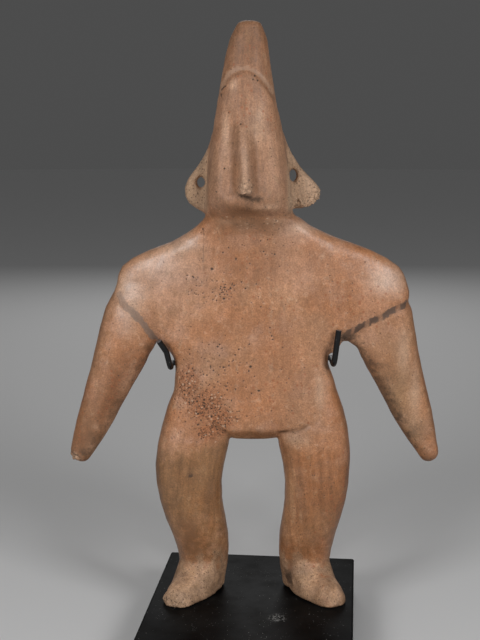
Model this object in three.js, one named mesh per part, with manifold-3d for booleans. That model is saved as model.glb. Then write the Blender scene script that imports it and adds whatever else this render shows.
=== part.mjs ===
// A standing shaman figure with a tall horn, hand-modelled in solid clay and fired, in the Colima
// manner, on the black display stand that holds it: a block and two steel rods that rise from it
// and hook forward under the arms. Millimetres, +Z up; the figure faces -Y. The origin is the
// middle of the block's underside. Left and right are the viewer's.

import * as THREE from "three";
import { mergeVertices } from "three/addons/utils/BufferGeometryUtils.js";
import Module from "manifold-3d";

const wasm = await Module();
wasm.setup();

// Driving dimensions
const BLOCK = { width: 115, depth: 127, height: 22, chamfer: 1.2, turn: -5.8 }; // turn in degrees
const FIT_GAP = 0.3; // left between pieces that touch
const FIGURE_PLACE = { across: 1, back: 8 }; // from the block's middle to the figure's own
const FIGURE_HEIGHT = 321;
const SOLE_CUT = 20; // how far the modelling runs on below the soles before they are cut flat
const ROD_RADIUS = 1.6;
const ROD_BEND = 4.5; // the radius that the rods are bent to

// How far each mass of clay is rounded over, past its first section and past its last one.
const ROUNDED = { trunk: [3, 3], arm: [4, 4.5], leg: [3, 3], foot: [3, 8], head: [2, 2.7], hole: [0.5, 0.5] };
// How finely each piece is divided: along it, and round it.
const ALONG = { trunk: 28, arm: 10, leg: 14, foot: 7, hole: 5, earEdge: 46, rod: 34 };
const ROUND = { trunk: 36, arm: 20, leg: 22, foot: 20, headFront: 26, headBack: 10, hole: 12, rod: 8 };

const BACK = new THREE.Vector3(0, 1, 0);
const UP = new THREE.Vector3(0, 0, 1);
const SIDE = new THREE.Vector3(1, 0, 0);

function spread(from, to, count) {
  return Array.from({ length: count }, (_, i) => from + ((to - from) * i) / (count - 1));
}

// A smooth curve through rows of numbers: give it a value of their first column for a whole row.
function smoothRows(rows) {
  const positions = new Float32Array(rows.map((row) => row[0]));
  const values = new Float32Array(rows.flatMap((row) => row.slice(1)));
  const curve = new THREE.CubicInterpolant(positions, values, rows[0].length - 1);
  return (at) => [at, ...curve.evaluate(at)];
}

// Rows at even steps along the same smooth curve, from the first of the given rows to the last.
function evenRows(rows, count) {
  return spread(rows[0][0], rows[rows.length - 1][0], count).map(smoothRows(rows));
}

// The value at one place of a profile of [place, value] rows; nothing beyond its two ends.
function profileAt(profile, place) {
  const above = profile.findIndex((row) => row[0] > place);
  if (above < 1) return 0;
  const [lowPlace, low] = profile[above - 1];
  const [highPlace, high] = profile[above];
  return THREE.MathUtils.lerp(low, high, (place - lowPlace) / (highPlace - lowPlace));
}

// One section of the modelling: a rounded loop about its centre. Reach is how far it goes along
// its two directions, and squareness is 2 for an ellipse, more for a slab.
function section(centre, across, up, reach, squareness) {
  return { centre, across, up, reach, squareness };
}

// A level section from [height, left edge, right edge, front, back, squareness].
function levelSection([height, left, right, front, back, squareness]) {
  const centre = new THREE.Vector3((left + right) / 2, (front + back) / 2, height);
  const reach = { across: (right - left) / 2, up: (back - front) / 2 };
  return section(centre, SIDE, BACK, reach, squareness);
}

function loopOf({ centre, across, up, reach, squareness }, angles, scale = 1) {
  const power = 2 / squareness;
  return angles.map((angle) => {
    const c = Math.cos(angle);
    const s = Math.sin(angle);
    const wide = Math.sign(c) * Math.abs(c) ** power * reach.across * scale;
    const deep = Math.sign(s) * Math.abs(s) ** power * reach.up * scale;
    return centre.clone().addScaledVector(across, wide).addScaledVector(up, deep);
  });
}

function evenAngles(sides) {
  return Array.from({ length: sides }, (_, i) => (2 * Math.PI * i) / sides);
}

// The rings that round off an end: each is the end section, drawn in and moved along.
function domeLoops(end, direction, height, angles, steps = 3) {
  return Array.from({ length: steps - 1 }, (_, i) => {
    const turn = ((i + 1) / steps) * (Math.PI / 2);
    const centre = end.centre.clone().addScaledVector(direction, height * Math.sin(turn));
    return loopOf({ ...end, centre }, angles, Math.cos(turn));
  });
}

// A closed body through loops of equal size, with a fan of triangles over each end.
function closedLoft(loops, firstPole, lastPole) {
  const sides = loops[0].length;
  const points = [...loops.flat(), firstPole, lastPole];
  const first = points.length - 2;
  const last = points.length - 1;
  const start = (loops.length - 1) * sides;
  const faces = [];
  for (let i = 0; i < sides; i++) {
    const next = (i + 1) % sides;
    for (let k = 0; k < loops.length - 1; k++) {
      const here = k * sides;
      const above = here + sides;
      faces.push(here + i, here + next, above + next, here + i, above + next, above + i);
    }
    faces.push(first, next, i, last, start + i, start + next);
  }
  return new THREE.BufferGeometry().setFromPoints(points).setIndex(faces);
}

// A limb or mass modelled round its sections, with both ends rounded over by the given heights.
function modelled(sections, rounded, angles, loopAt = (each) => loopOf(each, angles)) {
  const first = sections[0];
  const last = sections[sections.length - 1];
  const onward = last.across.clone().cross(last.up);
  const backward = first.across.clone().cross(first.up).negate();
  const loops = [
    ...domeLoops(first, backward, rounded[0], angles).reverse(),
    ...sections.map(loopAt),
    ...domeLoops(last, onward, rounded[1], angles),
  ];
  const firstPole = first.centre.clone().addScaledVector(backward, rounded[0]);
  const lastPole = last.centre.clone().addScaledVector(onward, rounded[1]);
  return closedLoft(loops, firstPole, lastPole);
}

// The clay is measured from the soles up and from the figure's mid-plane, with its front at -Y.
// All rows of the level masses are [height, left edge, right edge, front, back, squareness].

// The trunk: one flat slab from its lower edge between the legs, in at the waist, out past the
// armpits to the far corners of the shoulders and up to the neck.
function trunk() {
  const rows = [
    [94.8, -18.5, 16.5, -10.2, 8.6, 2.6],
    [98, -31, 29.5, -13, 11, 2.9],
    [103, -42, 41.5, -14.2, 12.2, 3.2],
    [110, -46, 46.4, -14.8, 12.6, 3.2],
    [124, -45, 44.6, -14.9, 12.5, 3],
    [138, -45.3, 40.6, -14.4, 12.1, 3],
    [145, -50, 43.4, -14.2, 12, 3.3],
    [151.5, -57, 53, -14, 12, 3.8],
    [158, -66.5, 66, -13.9, 12, 4.2],
    [165, -75.5, 79, -13.7, 12, 4],
    [171.5, -79, 85.6, -13.4, 12, 3.6],
    [178, -76.8, 84.7, -12.9, 11.7, 3.2],
    [190.5, -71.9, 78, -11.6, 10.7, 2.9],
    [197.3, -60.5, 66, -11.4, 10.6, 2.8],
    [204.2, -43, 47.2, -12.2, 11, 2.6],
    [210.8, -33, 32, -14.6, 11.8, 2.5],
    [216.5, -27.2, 24.2, -17.6, 12.4, 2.4],
  ];
  const sections = evenRows(rows, ALONG.trunk).map(levelSection);
  return modelled(sections, ROUNDED.trunk, evenAngles(ROUND.trunk));
}

// An arm: a flattened cone that hangs out from the shoulder and ends in a blunt point, with no
// hand. Rows are [way down the arm, across, height, half width, half depth].
function arm(rows) {
  const stations = evenRows(rows, ALONG.arm);
  const sections = stations.map(([, across, height, width, depth], i) => {
    const before = stations[Math.max(i - 1, 0)];
    const after = stations[Math.min(i + 1, stations.length - 1)];
    const along = new THREE.Vector3(after[1] - before[1], 0, after[2] - before[2]).normalize();
    const centre = new THREE.Vector3(across, 0, height);
    const roundness = 2.3;
    return section(centre, BACK.clone().cross(along), BACK, { across: width, up: depth }, roundness);
  });
  return modelled(sections, ROUNDED.arm, evenAngles(ROUND.arm));
}

function leftArm() {
  return arm([
    [0, -62.5, 175, 13, 8],
    [1, -67, 163, 16.2, 10.5],
    [2, -73.2, 144.3, 15.5, 11.4],
    [3, -81.6, 123.7, 12.3, 10.2],
    [4, -90, 103, 10.2, 8.4],
    [5, -98.8, 82.5, 5.9, 5.4],
  ]);
}

function rightArm() {
  return arm([
    [0, 67, 175, 14, 8],
    [1, 70, 163, 17.2, 10.5],
    [2, 74.4, 144.3, 16.3, 11.4],
    [3, 82.3, 123.7, 13, 10.2],
    [4, 90.3, 103, 10.3, 8.4],
    [5, 99, 82.5, 5.6, 5.4],
  ]);
}

// A bowed leg, from past the sole to inside the hip. The knee is forward of hip and ankle.
function leg(rows) {
  return modelled(evenRows(rows, ALONG.leg).map(levelSection), ROUNDED.leg, evenAngles(ROUND.leg));
}

function leftLeg() {
  return leg([
    [-8, -39, -19.5, 2, 17.5, 2.1],
    [6, -42.4, -16.4, -1.4, 18.4, 2.1],
    [18, -43.2, -15.2, -5.4, 17, 2.3],
    [32, -46.3, -14.7, -9.6, 14.8, 2.4],
    [46, -51.3, -16.9, -12.4, 13.6, 2.4],
    [60, -55, -19, -13.8, 13, 2.5],
    [74, -56.2, -18, -14.4, 12.8, 2.5],
    [88, -54.9, -14.8, -14.2, 12.4, 2.5],
    [100, -52, -13, -13.8, 12, 2.6],
    [112, -48.3, -13, -13, 11.2, 2.7],
    [122, -44.4, -14, -11.4, 9.6, 2.7],
    [130, -40.6, -16, -9.4, 7.6, 2.6],
  ]);
}

function rightLeg() {
  return leg([
    [-8, 19.5, 39, 2, 17.5, 2.1],
    [6, 15.8, 42.4, -1.4, 18.4, 2.1],
    [18, 14.7, 43.6, -5.4, 17, 2.3],
    [32, 14.1, 45.8, -9.6, 14.8, 2.4],
    [46, 15.8, 49.6, -12.4, 13.6, 2.4],
    [60, 17.5, 52.8, -13.8, 13, 2.5],
    [74, 16.4, 54, -14.4, 12.8, 2.5],
    [88, 13.5, 53.7, -14.2, 12.4, 2.5],
    [100, 12, 52.3, -13.8, 12, 2.6],
    [112, 12, 48.7, -13, 11.2, 2.7],
    [122, 13, 44.6, -11.4, 9.6, 2.7],
    [130, 15, 40, -9.4, 7.6, 2.6],
  ]);
}

// A foot: its sections turn from level inside the ankle to upright at the broad blunt toe, which
// points outward. The soles are cut flat later.
function foot(outward) {
  const ankle = new THREE.Vector3(outward * 30, 6, 0);
  const forward = new THREE.Vector3(outward * 13, -23.5, 0).normalize();
  const across = UP.clone().cross(forward);
  const roundness = 2.5;
  // [way along, distance forward, centre height, half width, half thickness, degrees down]
  const rows = [
    [0, -2, 30, 10.5, 9, 90],
    [1, 0, 18, 12.2, 11, 70],
    [2, 5, 8, 13, 11.8, 42],
    [3, 13, 1.4, 12, 12.4, 16],
    [4, 20, -1.4, 10.6, 14, 2],
    [5, 26.6, -3, 9.3, 14, 0],
  ];
  const sections = evenRows(rows, ALONG.foot).map(([, distance, height, half, thick, down]) => {
    const tilt = THREE.MathUtils.degToRad(down);
    const up = UP.clone().multiplyScalar(Math.cos(tilt)).addScaledVector(forward, Math.sin(tilt));
    const centre = ankle.clone().addScaledVector(forward, distance).addScaledVector(UP, height);
    return section(centre, across, up, { across: half, up: thick }, roundness);
  });
  return modelled(sections, ROUNDED.foot, evenAngles(ROUND.foot));
}

// How far the nose stands out along the face, as [height, how far], from under it to the brow.
const NOSE = {
  profile: [
    [224.6, 0],
    [226.4, -0.9],
    [228.6, -0.9],
    [230, 2.6],
    [231.6, 5.6],
    [234, 6.2],
    [242, 5.4],
    [252, 3.8],
    [262, 2.2],
    [272, 0.9],
    [282, 0],
  ],
  tip: { across: -5.2, height: 231 },
  lean: -0.05, // how far its middle line moves across for each millimetre up
  halfWidth: 4.1,
  hollowAway: 8.2, // the shallow hollow down each side of it, and that hollow's depth
  hollowHalfWidth: 3.6,
  hollowShare: 0.36,
  inFrontOf: -4,
};

// The line that ends the face over the brow: an arch that falls away to both sides of the horn,
// with a shallow groove above it. Its profile is [height at the middle, how far out].
const BROW = {
  profile: [
    [284, 0],
    [290, 0.4],
    [292.6, 0.5],
    [293.8, -0.5],
    [295.2, -0.5],
    [296.8, 0],
    [298, 0],
  ],
  middle: -6,
  fall: 0.062,
  from: 248, // the loops round the head begin to follow the arch here,
  full: 284, // follow it wholly between these two heights
  keep: 300,
  until: 316, // and are level again from here on
  frontFade: 0.5, // the groove fades out where the head turns away to the side
};

// Moves a point of the head out or in for the pinched nose and the hollow down each side of it.
function withNose(point) {
  if (point.y > NOSE.inFrontOf) return point;
  const away = point.x - NOSE.tip.across - NOSE.lean * (point.z - NOSE.tip.height);
  const ridge = Math.exp(-((away / NOSE.halfWidth) ** 2));
  const hollow = Math.exp(-(((Math.abs(away) - NOSE.hollowAway) / NOSE.hollowHalfWidth) ** 2));
  const out = profileAt(NOSE.profile, point.z) * (ridge - NOSE.hollowShare * hollow);
  return point.clone().addScaledVector(BACK, -out);
}

// A loop round the head that follows the brow line down at both sides, on the head's surface.
function browLoop(height, surface, angles) {
  const { profile, middle, fall, from, full, keep, until, frontFade } = BROW;
  const { smoothstep } = THREE.MathUtils;
  const follow = smoothstep(height, from, full) * (1 - smoothstep(height, keep, until));
  const passes = 4; // each one brings the point nearer to where the arch meets the surface
  return angles.map((angle) => {
    let at = height;
    let point = loopOf(surface(at), [angle])[0];
    for (let pass = 0; pass < passes; pass++) {
      at = height - follow * fall * (point.x - middle) ** 2;
      point = loopOf(surface(at), [angle])[0];
    }
    const outward = point.clone().sub(surface(at).centre).normalize();
    const frontShare = smoothstep(-outward.y, 0, frontFade);
    return withNose(point.addScaledVector(outward, profileAt(profile, height) * frontShare));
  });
}

// More points round the front half of the head than the back, and closest together at the nose.
function headAngles(frontSides, backSides) {
  const crowding = 0.32;
  const back = Array.from({ length: backSides }, (_, i) => (Math.PI * i) / backSides);
  const front = Array.from({ length: frontSides }, (_, i) => {
    const share = i / frontSides;
    return Math.PI * (1 + share) + crowding * Math.sin(2 * Math.PI * share);
  });
  return [...back, ...front];
}

// The head: a tall cone that leans back from the jutting chin up to the blunt end of the horn.
function head() {
  const bottom = 206;
  const top = FIGURE_HEIGHT - ROUNDED.head[1];
  const at = smoothRows([
    [bottom, -25, 20, -9, 9, 2.3],
    [211, -26.8, 21.8, -12.4, 11, 2.3],
    [215, -27.4, 22, -15.6, 12.3, 2.3],
    [218.5, -27.2, 21, -19, 13, 2.4],
    [221, -27, 20.2, -22.4, 13.5, 2.5],
    [224, -26.9, 19.6, -24.9, 13.9, 2.6],
    [228, -26.7, 19.3, -25.8, 14.2, 2.7],
    [236, -26.3, 18.8, -25.6, 14.4, 2.7],
    [246, -25.4, 17.4, -24.2, 14.2, 2.6],
    [257, -24, 15.8, -22, 13.4, 2.5],
    [268, -22, 13.5, -19.9, 12.3, 2.4],
    [282.5, -19.6, 10.5, -17, 10.8, 2.3],
    [295, -17.4, 8.3, -14.2, 9.2, 2.2],
    [304, -15.6, 7, -12, 8, 2.2],
    [312, -13.6, 5.8, -10, 6.8, 2.2],
    [top, -10.2, 3.4, -8, 5.2, 2.4],
  ]);
  const surface = (height) => levelSection(at(height));
  const chinHeights = spread(bottom, 225, 9);
  const noseHeights = [...spread(226.6, 232.2, 5), ...spread(236, 286, 11)];
  const browHeights = [290, 292.6, 293.8, 295.2, 296.8];
  const hornHeights = [301, 307, 312.5, 316, top];
  const sections = [...chinHeights, ...noseHeights, ...browHeights, ...hornHeights].map(surface);
  const angles = headAngles(ROUND.headFront, ROUND.headBack);
  const loopAt = ({ centre }) => browLoop(centre.z, surface, angles);
  return modelled(sections, ROUNDED.head, angles, loopAt);
}

// Both ears in one: a flat blade through the back of the head, with a round lobe on the left and
// a longer, broken-off one on the right.
const EARS = {
  thickness: 8.4,
  edge: 3, // the rounding of the blade's edge
  behind: 2, // the blade's middle, behind the figure's mid-plane
  outline: [
    [-12, 276],
    [-22, 265],
    [-24.5, 257],
    [-27.3, 250.5],
    [-31.1, 244.1],
    [-36.1, 237.6],
    [-38.5, 231],
    [-36.6, 224.6],
    [-31, 220.2],
    [-20, 215],
    [-3, 213],
    [14, 216],
    [20, 221],
    [27, 221.2],
    [32.4, 224],
    [36, 230],
    [34.2, 233.6],
    [30.2, 237.6],
    [24.2, 244.1],
    [19.8, 250.5],
    [17, 257],
    [13.8, 265],
    [4, 276],
  ],
  holes: [
    { across: -29.6, height: 235.2, waist: [2.2, 3], mouth: [3.4, 4.4] },
    { across: 20.4, height: 239, waist: [2.1, 3.6], mouth: [3.2, 5] },
  ],
};

function earBlade() {
  const points = EARS.outline.map(([x, z]) => new THREE.Vector2(x, z));
  const outline = new THREE.SplineCurve([...points, points[0]]);
  const shape = new THREE.Shape(outline.getSpacedPoints(ALONG.earEdge).slice(0, -1));
  const blade = new THREE.ExtrudeGeometry(shape, {
    depth: EARS.thickness - 2 * EARS.edge,
    bevelThickness: EARS.edge,
    bevelSize: EARS.edge,
    bevelOffset: -EARS.edge,
    bevelSegments: 2,
    curveSegments: 1,
  });
  // The outline is drawn flat and then stood up, so that its thickness runs from front to back.
  blade.rotateX(Math.PI / 2);
  blade.translate(0, EARS.behind + EARS.thickness / 2 - EARS.edge, 0);
  return blade;
}

// A hole pushed through an ear from both faces: wide at each mouth and narrow in the middle.
function earHole({ across, height, waist, mouth }) {
  const half = EARS.thickness / 2 + 1;
  const rows = [
    [-half, ...mouth],
    [0, ...waist],
    [half, ...mouth],
  ];
  const sections = evenRows(rows, ALONG.hole).map(([along, wide, high]) => {
    const centre = new THREE.Vector3(across, EARS.behind + along, height);
    return section(centre, UP, SIDE, { across: high, up: wide }, 2);
  });
  return modelled(sections, ROUNDED.hole, evenAngles(ROUND.hole));
}

function solidOf(geometry) {
  const bare = geometry.clone();
  bare.deleteAttribute("normal");
  bare.deleteAttribute("uv");
  const merged = mergeVertices(bare, 1e-4);
  const mesh = new wasm.Mesh({
    numProp: 3,
    vertProperties: new Float32Array(merged.attributes.position.array),
    triVerts: new Uint32Array(merged.index.array),
  });
  return new wasm.Manifold(mesh);
}

function geometryOf(solid) {
  const mesh = solid.getMesh();
  return new THREE.BufferGeometry()
    .setAttribute("position", new THREE.BufferAttribute(mesh.vertProperties, 3))
    .setIndex(new THREE.BufferAttribute(mesh.triVerts, 1));
}

// The figure is one piece of fired clay: its masses were pressed and smoothed into one another.
function shamanFigure() {
  const limbs = [leftArm(), rightArm(), leftLeg(), rightLeg(), foot(-1), foot(1)];
  const masses = [trunk(), ...limbs, head(), earBlade()];
  let clay = masses.map(solidOf).reduce((sum, each) => sum.add(each));
  for (const hole of EARS.holes) {
    clay = clay.subtract(solidOf(earHole(hole)));
  }
  const wide = 300; // well past both feet
  const belowSoles = new THREE.BoxGeometry(wide, wide, SOLE_CUT).translate(0, 0, -SOLE_CUT / 2);
  const material = new THREE.MeshStandardMaterial({ color: 0xb5805c, roughness: 0.55, metalness: 0 });
  const figure = new THREE.Mesh(geometryOf(clay.subtract(solidOf(belowSoles))), material);
  figure.name = "shaman_figure";
  return figure;
}

// The block has a narrow chamfer round its top and bottom, and stands a little askew of the figure.
function standBlock() {
  const { width, depth, height, chamfer, turn } = BLOCK;
  const outline = new THREE.Shape();
  outline.moveTo(-width / 2, -depth / 2);
  outline.lineTo(width / 2, -depth / 2);
  outline.lineTo(width / 2, depth / 2);
  outline.lineTo(-width / 2, depth / 2);
  outline.closePath();
  const geometry = new THREE.ExtrudeGeometry(outline, {
    depth: height - 2 * chamfer,
    bevelThickness: chamfer,
    bevelSize: chamfer,
    bevelOffset: -chamfer,
    bevelSegments: 1,
  });
  const material = new THREE.MeshStandardMaterial({ color: 0x141416, roughness: 0.35, metalness: 0 });
  const block = new THREE.Mesh(geometry, material);
  block.name = "stand_block";
  block.position.z = chamfer;
  block.rotation.z = THREE.MathUtils.degToRad(turn);
  return block;
}

// A support rod rises from the block behind a leg, runs forward past the waist just under the
// armpit and turns up in front as a short prong. Its corners are in the figure's own frame.
const ROD_CORNERS = {
  left: [
    [-33, 25.5, 0],
    [-39, 18.5, 131],
    [-47, 6, 133.5],
    [-47, -7, 133.5],
    [-50.2, -10, 143.5],
    [-54.4, -14, 151],
  ],
  right: [
    [33, 25.5, 0],
    [35.5, 18.5, 134],
    [43.1, 6, 136.4],
    [43.1, -14.4, 136.4],
    [45.4, -15.4, 156],
  ],
};

// The middle line of a bent rod: straight stretches, with each corner turned in a short bend.
function bentPath(corners) {
  const bendSteps = 4;
  const points = [corners[0]];
  for (let i = 1; i < corners.length - 1; i++) {
    const back = corners[i - 1].clone().sub(corners[i]);
    const onward = corners[i + 1].clone().sub(corners[i]);
    const start = ROD_BEND / Math.tan(back.angleTo(onward) / 2);
    const from = corners[i].clone().addScaledVector(back.normalize(), start);
    const to = corners[i].clone().addScaledVector(onward.normalize(), start);
    points.push(...new THREE.QuadraticBezierCurve3(from, corners[i], to).getPoints(bendSteps));
  }
  points.push(corners[corners.length - 1]);
  const slack = 0; // the path runs straight from point to point
  return new THREE.CatmullRomCurve3(points, false, "catmullrom", slack);
}

function supportRod(name, corners) {
  const round = new THREE.Shape().absarc(0, 0, ROD_RADIUS, 0, 2 * Math.PI);
  const geometry = new THREE.ExtrudeGeometry(round, {
    steps: ALONG.rod,
    curveSegments: ROUND.rod / 2,
    extrudePath: bentPath(corners.map((each) => new THREE.Vector3(...each))),
  });
  const material = new THREE.MeshStandardMaterial({ color: 0x18191b, roughness: 0.45, metalness: 0.6 });
  const rod = new THREE.Mesh(geometry, material);
  rod.name = name;
  return rod;
}

// The figure stands on the block with the rods that hold it.
const held = new THREE.Group();
held.add(
  shamanFigure(),
  supportRod("left_support_rod", ROD_CORNERS.left),
  supportRod("right_support_rod", ROD_CORNERS.right),
);
held.position.set(FIGURE_PLACE.across, FIGURE_PLACE.back, BLOCK.height + FIT_GAP);

const group = new THREE.Group();
group.add(standBlock(), held);

export default group;
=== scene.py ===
import math

import bpy
import numpy as np
from mathutils import Matrix, Vector


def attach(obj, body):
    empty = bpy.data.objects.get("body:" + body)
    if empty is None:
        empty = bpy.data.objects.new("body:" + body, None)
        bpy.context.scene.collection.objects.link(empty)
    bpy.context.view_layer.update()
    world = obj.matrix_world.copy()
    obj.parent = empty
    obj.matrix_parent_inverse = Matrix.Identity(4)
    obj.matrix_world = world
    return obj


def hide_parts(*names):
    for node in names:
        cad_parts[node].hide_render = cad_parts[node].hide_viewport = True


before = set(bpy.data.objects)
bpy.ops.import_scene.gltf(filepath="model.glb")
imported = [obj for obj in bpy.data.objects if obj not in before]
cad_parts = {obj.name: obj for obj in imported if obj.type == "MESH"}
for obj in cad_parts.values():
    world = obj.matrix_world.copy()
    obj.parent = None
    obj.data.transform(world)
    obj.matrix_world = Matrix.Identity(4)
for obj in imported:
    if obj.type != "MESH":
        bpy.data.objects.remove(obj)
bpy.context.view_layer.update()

# The camera
# It stands a little to the left of the figure and looks down on it, as in the photograph.
CAMERA_PLACE = (-0.0073, -0.625, 0.293)
CAMERA_TILT = math.radians(80)  # from looking straight down

bpy.ops.object.camera_add(location=CAMERA_PLACE, rotation=(CAMERA_TILT, 0, 0))
camera = bpy.context.object
camera.data.lens = 65
camera.data.sensor_width = 36
camera.data.clip_start = 0.01
bpy.context.scene.camera = camera

# The figure's clay body
# One solid piece of clay, pressed and smoothed by hand over its joins, burnished with a pebble
# and fired. The form comes from the CAD solid; the smoothing and all the small relief are added.
MM = 0.001
CLAY_GRAIN = 1.2 * MM  # the size of the faces that the clay is cut into
SOLE_HEIGHT = 22.3 * MM
FRONT_DEPTH = 4 * MM  # what is pressed into or painted on the front ends this far back
ARM_DEPTH = 14 * MM  # and what is on the arms this far

# Pits on the figure's front, in mm: across, up and radius.
CHEST_PITS = [(-13.5, 223, 0.5), (-16.5, 220.5, 0.6), (-9.5, 217, 0.7), (-27.5, 216, 0.4),
              (-22.5, 211.5, 0.8), (-16, 209.5, 0.4), (-36, 208, 0.5), (-32.5, 207, 0.6),
              (-28, 204.5, 0.4), (-22.5, 205.5, 0.4), (-31, 202.5, 0.4), (-6.5, 204.5, 0.5),
              (1.5, 203.5, 0.5), (-18, 201, 0.5), (-15.5, 201.5, 0.6), (-12.5, 201, 0.7),
              (-14.5, 199.5, 0.5), (-16.5, 199, 0.6), (-16, 195.5, 0.8), (-18, 196.5, 0.4),
              (-12, 196.5, 0.4), (-20, 194.5, 0.5), (-22, 195, 0.4), (-24.5, 196.5, 0.4),
              (-30, 197.5, 0.4), (-32, 198.5, 0.4), (-17, 193.5, 0.5), (5.5, 221, 0.5),
              (11.5, 219.5, 0.6), (6.5, 219.5, 0.5), (7.5, 227.5, 0.5), (12, 225.5, 0.4), (14, 213, 0.4),
              (-2, 214.5, 0.5), (4, 191, 0.5), (9, 179.5, 0.5), (-28.5, 231, 0.5), (-27.5, 233, 0.5)]
BELLY_PITS = [(-34, 180, 0.4), (-35, 167, 0.4), (-35, 164.5, 0.5), (-19.5, 169, 0.6), (-8, 167.5, 0.7),
              (-10, 164.5, 0.6), (-23.5, 158, 0.7), (-16.5, 157.5, 0.6), (-1.5, 158, 0.8),
              (-2.5, 155.5, 0.5), (-25.5, 153, 0.5), (-19.5, 149.5, 0.6), (-18, 148.5, 0.4),
              (-15, 147, 0.5), (-5.5, 150, 0.5), (-4, 146.5, 0.5), (3, 144.5, 0.8), (-1, 143, 0.6),
              (-12, 139, 0.6), (-3.5, 130, 0.5), (-30.5, 125, 0.9), (-30.5, 131, 0.8), (-25.5, 134, 0.7),
              (-31, 138, 0.7), (-26, 149, 0.4), (-28, 147.5, 0.4), (10, 175, 0.6), (10.5, 173, 0.5),
              (-2, 170.5, 0.5), (-11, 161.5, 0.4), (-21.5, 162, 0.4), (10, 133, 0.4), (-19.5, 126, 0.6),
              (-15.5, 125, 0.7), (-23, 129.5, 0.6), (-21, 130.5, 0.5), (-14.5, 129, 0.5),
              (-13.5, 127, 0.6)]
HEAD_PITS = [(-7, 289, 0.6), (-15.5, 266, 0.6), (0.5, 314, 0.7), (2, 311.5, 0.6), (-0.5, 312, 0.5)]
# Loose pits: how many, their middle, how far they spread across and up, and their smallest and
# largest radius.
LOOSE_PITS = [(34, (-36, 147), (4, 7), 0.25, 0.4), (60, (-27, 137), (6.5, 5), 0.25, 0.5),
              (26, (-18, 129), (4.5, 4), 0.3, 0.5), (26, (-15, 201.5), (4.2, 3.2), 0.3, 0.5),
              (10, (-31, 203), (4, 3), 0.3, 0.4), (46, (-18, 156), (10, 11), 0.3, 0.5),
              (12, (-22, 121), (5, 3.5), 0.25, 0.35), (18, (8, 165), (12, 26), 0.3, 0.45),
              (8, (6, 222), (6, 4), 0.3, 0.45), (90, (-33, 137), (8, 12), 0.2, 0.32),
              (12, (38, 85), (5, 2.5), 0.22, 0.32)]

# Lines on the figure's front, in mm: across and up.
ARCH = [(-17.7, 306.7), (-15.2, 311.6), (-12.6, 315.3), (-8.3, 317.6), (-3.6, 317.9), (0.6, 316.4),
        (4.0, 313.4), (7.2, 310.0), (10.0, 305.5)]
ARCH_SCRATCHES = [[(-17.2, 306.8), (-15.8, 308.0), (-14.6, 308.6)], [(-17.2, 304.6), (-16.9, 303.2)]]
SHOULDER_SCRATCH = [(-27.0, 233.5), (-26.8, 228.0), (-27.3, 215.0)]
NOSE_RIDGE = [(-6.2, 286.0), (-5.0, 270.0), (-4.2, 256.0)]
LEFT_OF_NOSE = [(-11.4, 287.0), (-11.6, 268.0), (-10.8, 253.0)]
RIGHT_OF_NOSE = [(0.6, 284.0), (2.0, 268.0), (2.4, 254.0)]
LEFT_ARM_STAIN = [(-74.5, 152.0), (-78.0, 144.0), (-82.5, 133.0), (-87.5, 121.0)]
LEFT_ARM_INNER_EDGE = [(-60.0, 160.0), (-69.0, 144.0), (-77.0, 130.0), (-85.0, 116.5), (-94.0, 104.0)]
LEFT_ARM_RIM = [(-66.0, 153.0), (-71.0, 143.0), (-76.0, 132.0), (-81.0, 121.0), (-86.0, 110.5),
                (-91.0, 103.5)]
LEFT_TIP_BREAK = [(-102.3, 107.0), (-99.7, 105.2), (-96.9, 103.2)]
RIGHT_ARM_INNER_EDGE = [(55.0, 170.0), (64.0, 157.0), (73.0, 142.0), (81.0, 127.0), (90.0, 110.0)]
HIP_CREASE = [(15.0, 119.0), (18.5, 119.6), (25.9, 121.3), (30.5, 124.6)]
CROTCH_CREASE = [(-15.0, 120.0), (-17.6, 121.6), (-19.6, 123.4)]
LEFT_BAND = [(-73.2, 196.4), (-71.0, 192.2), (-67.4, 189.0), (-62.0, 183.8), (-57.4, 176.6),
             (-52.8, 169.8)]
RIGHT_BAND = [(50.2, 174.6), (55.0, 177.6), (62.0, 181.2), (71.4, 185.9), (78.0, 189.3),
              (86.6, 192.6)]

# Clay pressed into the armpits and against the inner heels, as balls. Each place from here on is
# its middle and its reach, in mm: across, in depth and up.
PRESSED_CLAY = [((44, 4, 170), (5, 6, 6.5)), ((52, 4, 176), (7, 6, 5.6)), ((56.5, 4, 171.5), (4, 5, 4)),
                ((62, 4, 169), (4.2, 5, 10)), ((-58, 6, 168.5), (4.2, 4.5, 4.5)),
                ((-21.8, 10.5, 25.5), (4.6, 7.5, 3.2)), ((25.5, 8, 25.5), (4.6, 8, 3.2))]

# Places rubbed smooth by a thumb: round the armpits and the heels, and for longer behind the ankles.
RUBBED_SMOOTH = [((56, 4, 168), (10, 14, 11)), ((-58, 4, 165), (6, 12, 7)),
                 ((-30, 20, 30), (14, 10, 6)), ((34, 20, 30), (14, 10, 6))]
RUBBED_LONGER = [((-34, 25, 55), (26, 8, 15)), ((38, 25, 55), (26, 8, 15))]

# The worn place over the left hip, the rough neck, and what is chipped: the right ear, the right
# armpit, the tip of the left arm, the left toes and the end of the nose.
WORN_HIP = [((-27, -5, 137), (11, 9, 9)), ((-18, -6, 129), (9, 9, 7)), ((-36, -4, 147), (7, 9, 12)),
            ((-23, -6, 121), (8, 9, 6))]
ROUGH_NECK = [((-4, -6, 238), (20, 12, 4.5))]
CHIPPED_EAR = [((23, 1, 248), (7, 8, 3.6)), ((31, 6, 247.5), (6, 7, 4.2)), ((35.5, 8, 250.5), (4, 6, 4))]
BROKEN_EDGES = CHIPPED_EAR + [((48.5, 0, 173), (3.5, 6, 3)), ((-101, 4.5, 103), (3.5, 7, 3.5)),
                              ((-45, -15, 23.5), (7, 5, 3)), ((-51, -10, 26), (3, 5, 3)),
                              ((-4.2, -22, 255), (3.5, 4, 5))]


def clear_selection():
    bpy.ops.object.select_all(action="DESELECT")


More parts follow.
